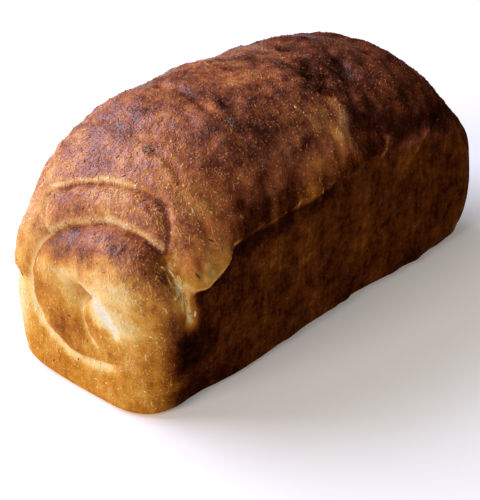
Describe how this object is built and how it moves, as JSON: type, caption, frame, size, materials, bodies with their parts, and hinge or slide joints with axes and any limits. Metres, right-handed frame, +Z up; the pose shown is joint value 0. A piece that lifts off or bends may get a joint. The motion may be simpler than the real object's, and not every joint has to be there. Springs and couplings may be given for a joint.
{
  "type": "tin-baked bread loaf",
  "caption": "Whole uncut tin loaf with a high domed crust, a lip where it rose over the tin, and the roll's swirl at its ends.",
  "frame": {"origin": "bottom centre of the loaf's bounding box, on the flat base", "axes": "+X along the loaf, away from the clearer swirl; -Y out of the long side with the clearer lip; +Z up"},
  "size_m": [0.2574, 0.1134, 0.1263],
  "materials": {
    "crust": "baked bread crust, satin, red-brown on the dome and golden at the swirl"
  },
  "bodies": {
    "root": {"loaf": "crust"}
  },
  "joints": []
}
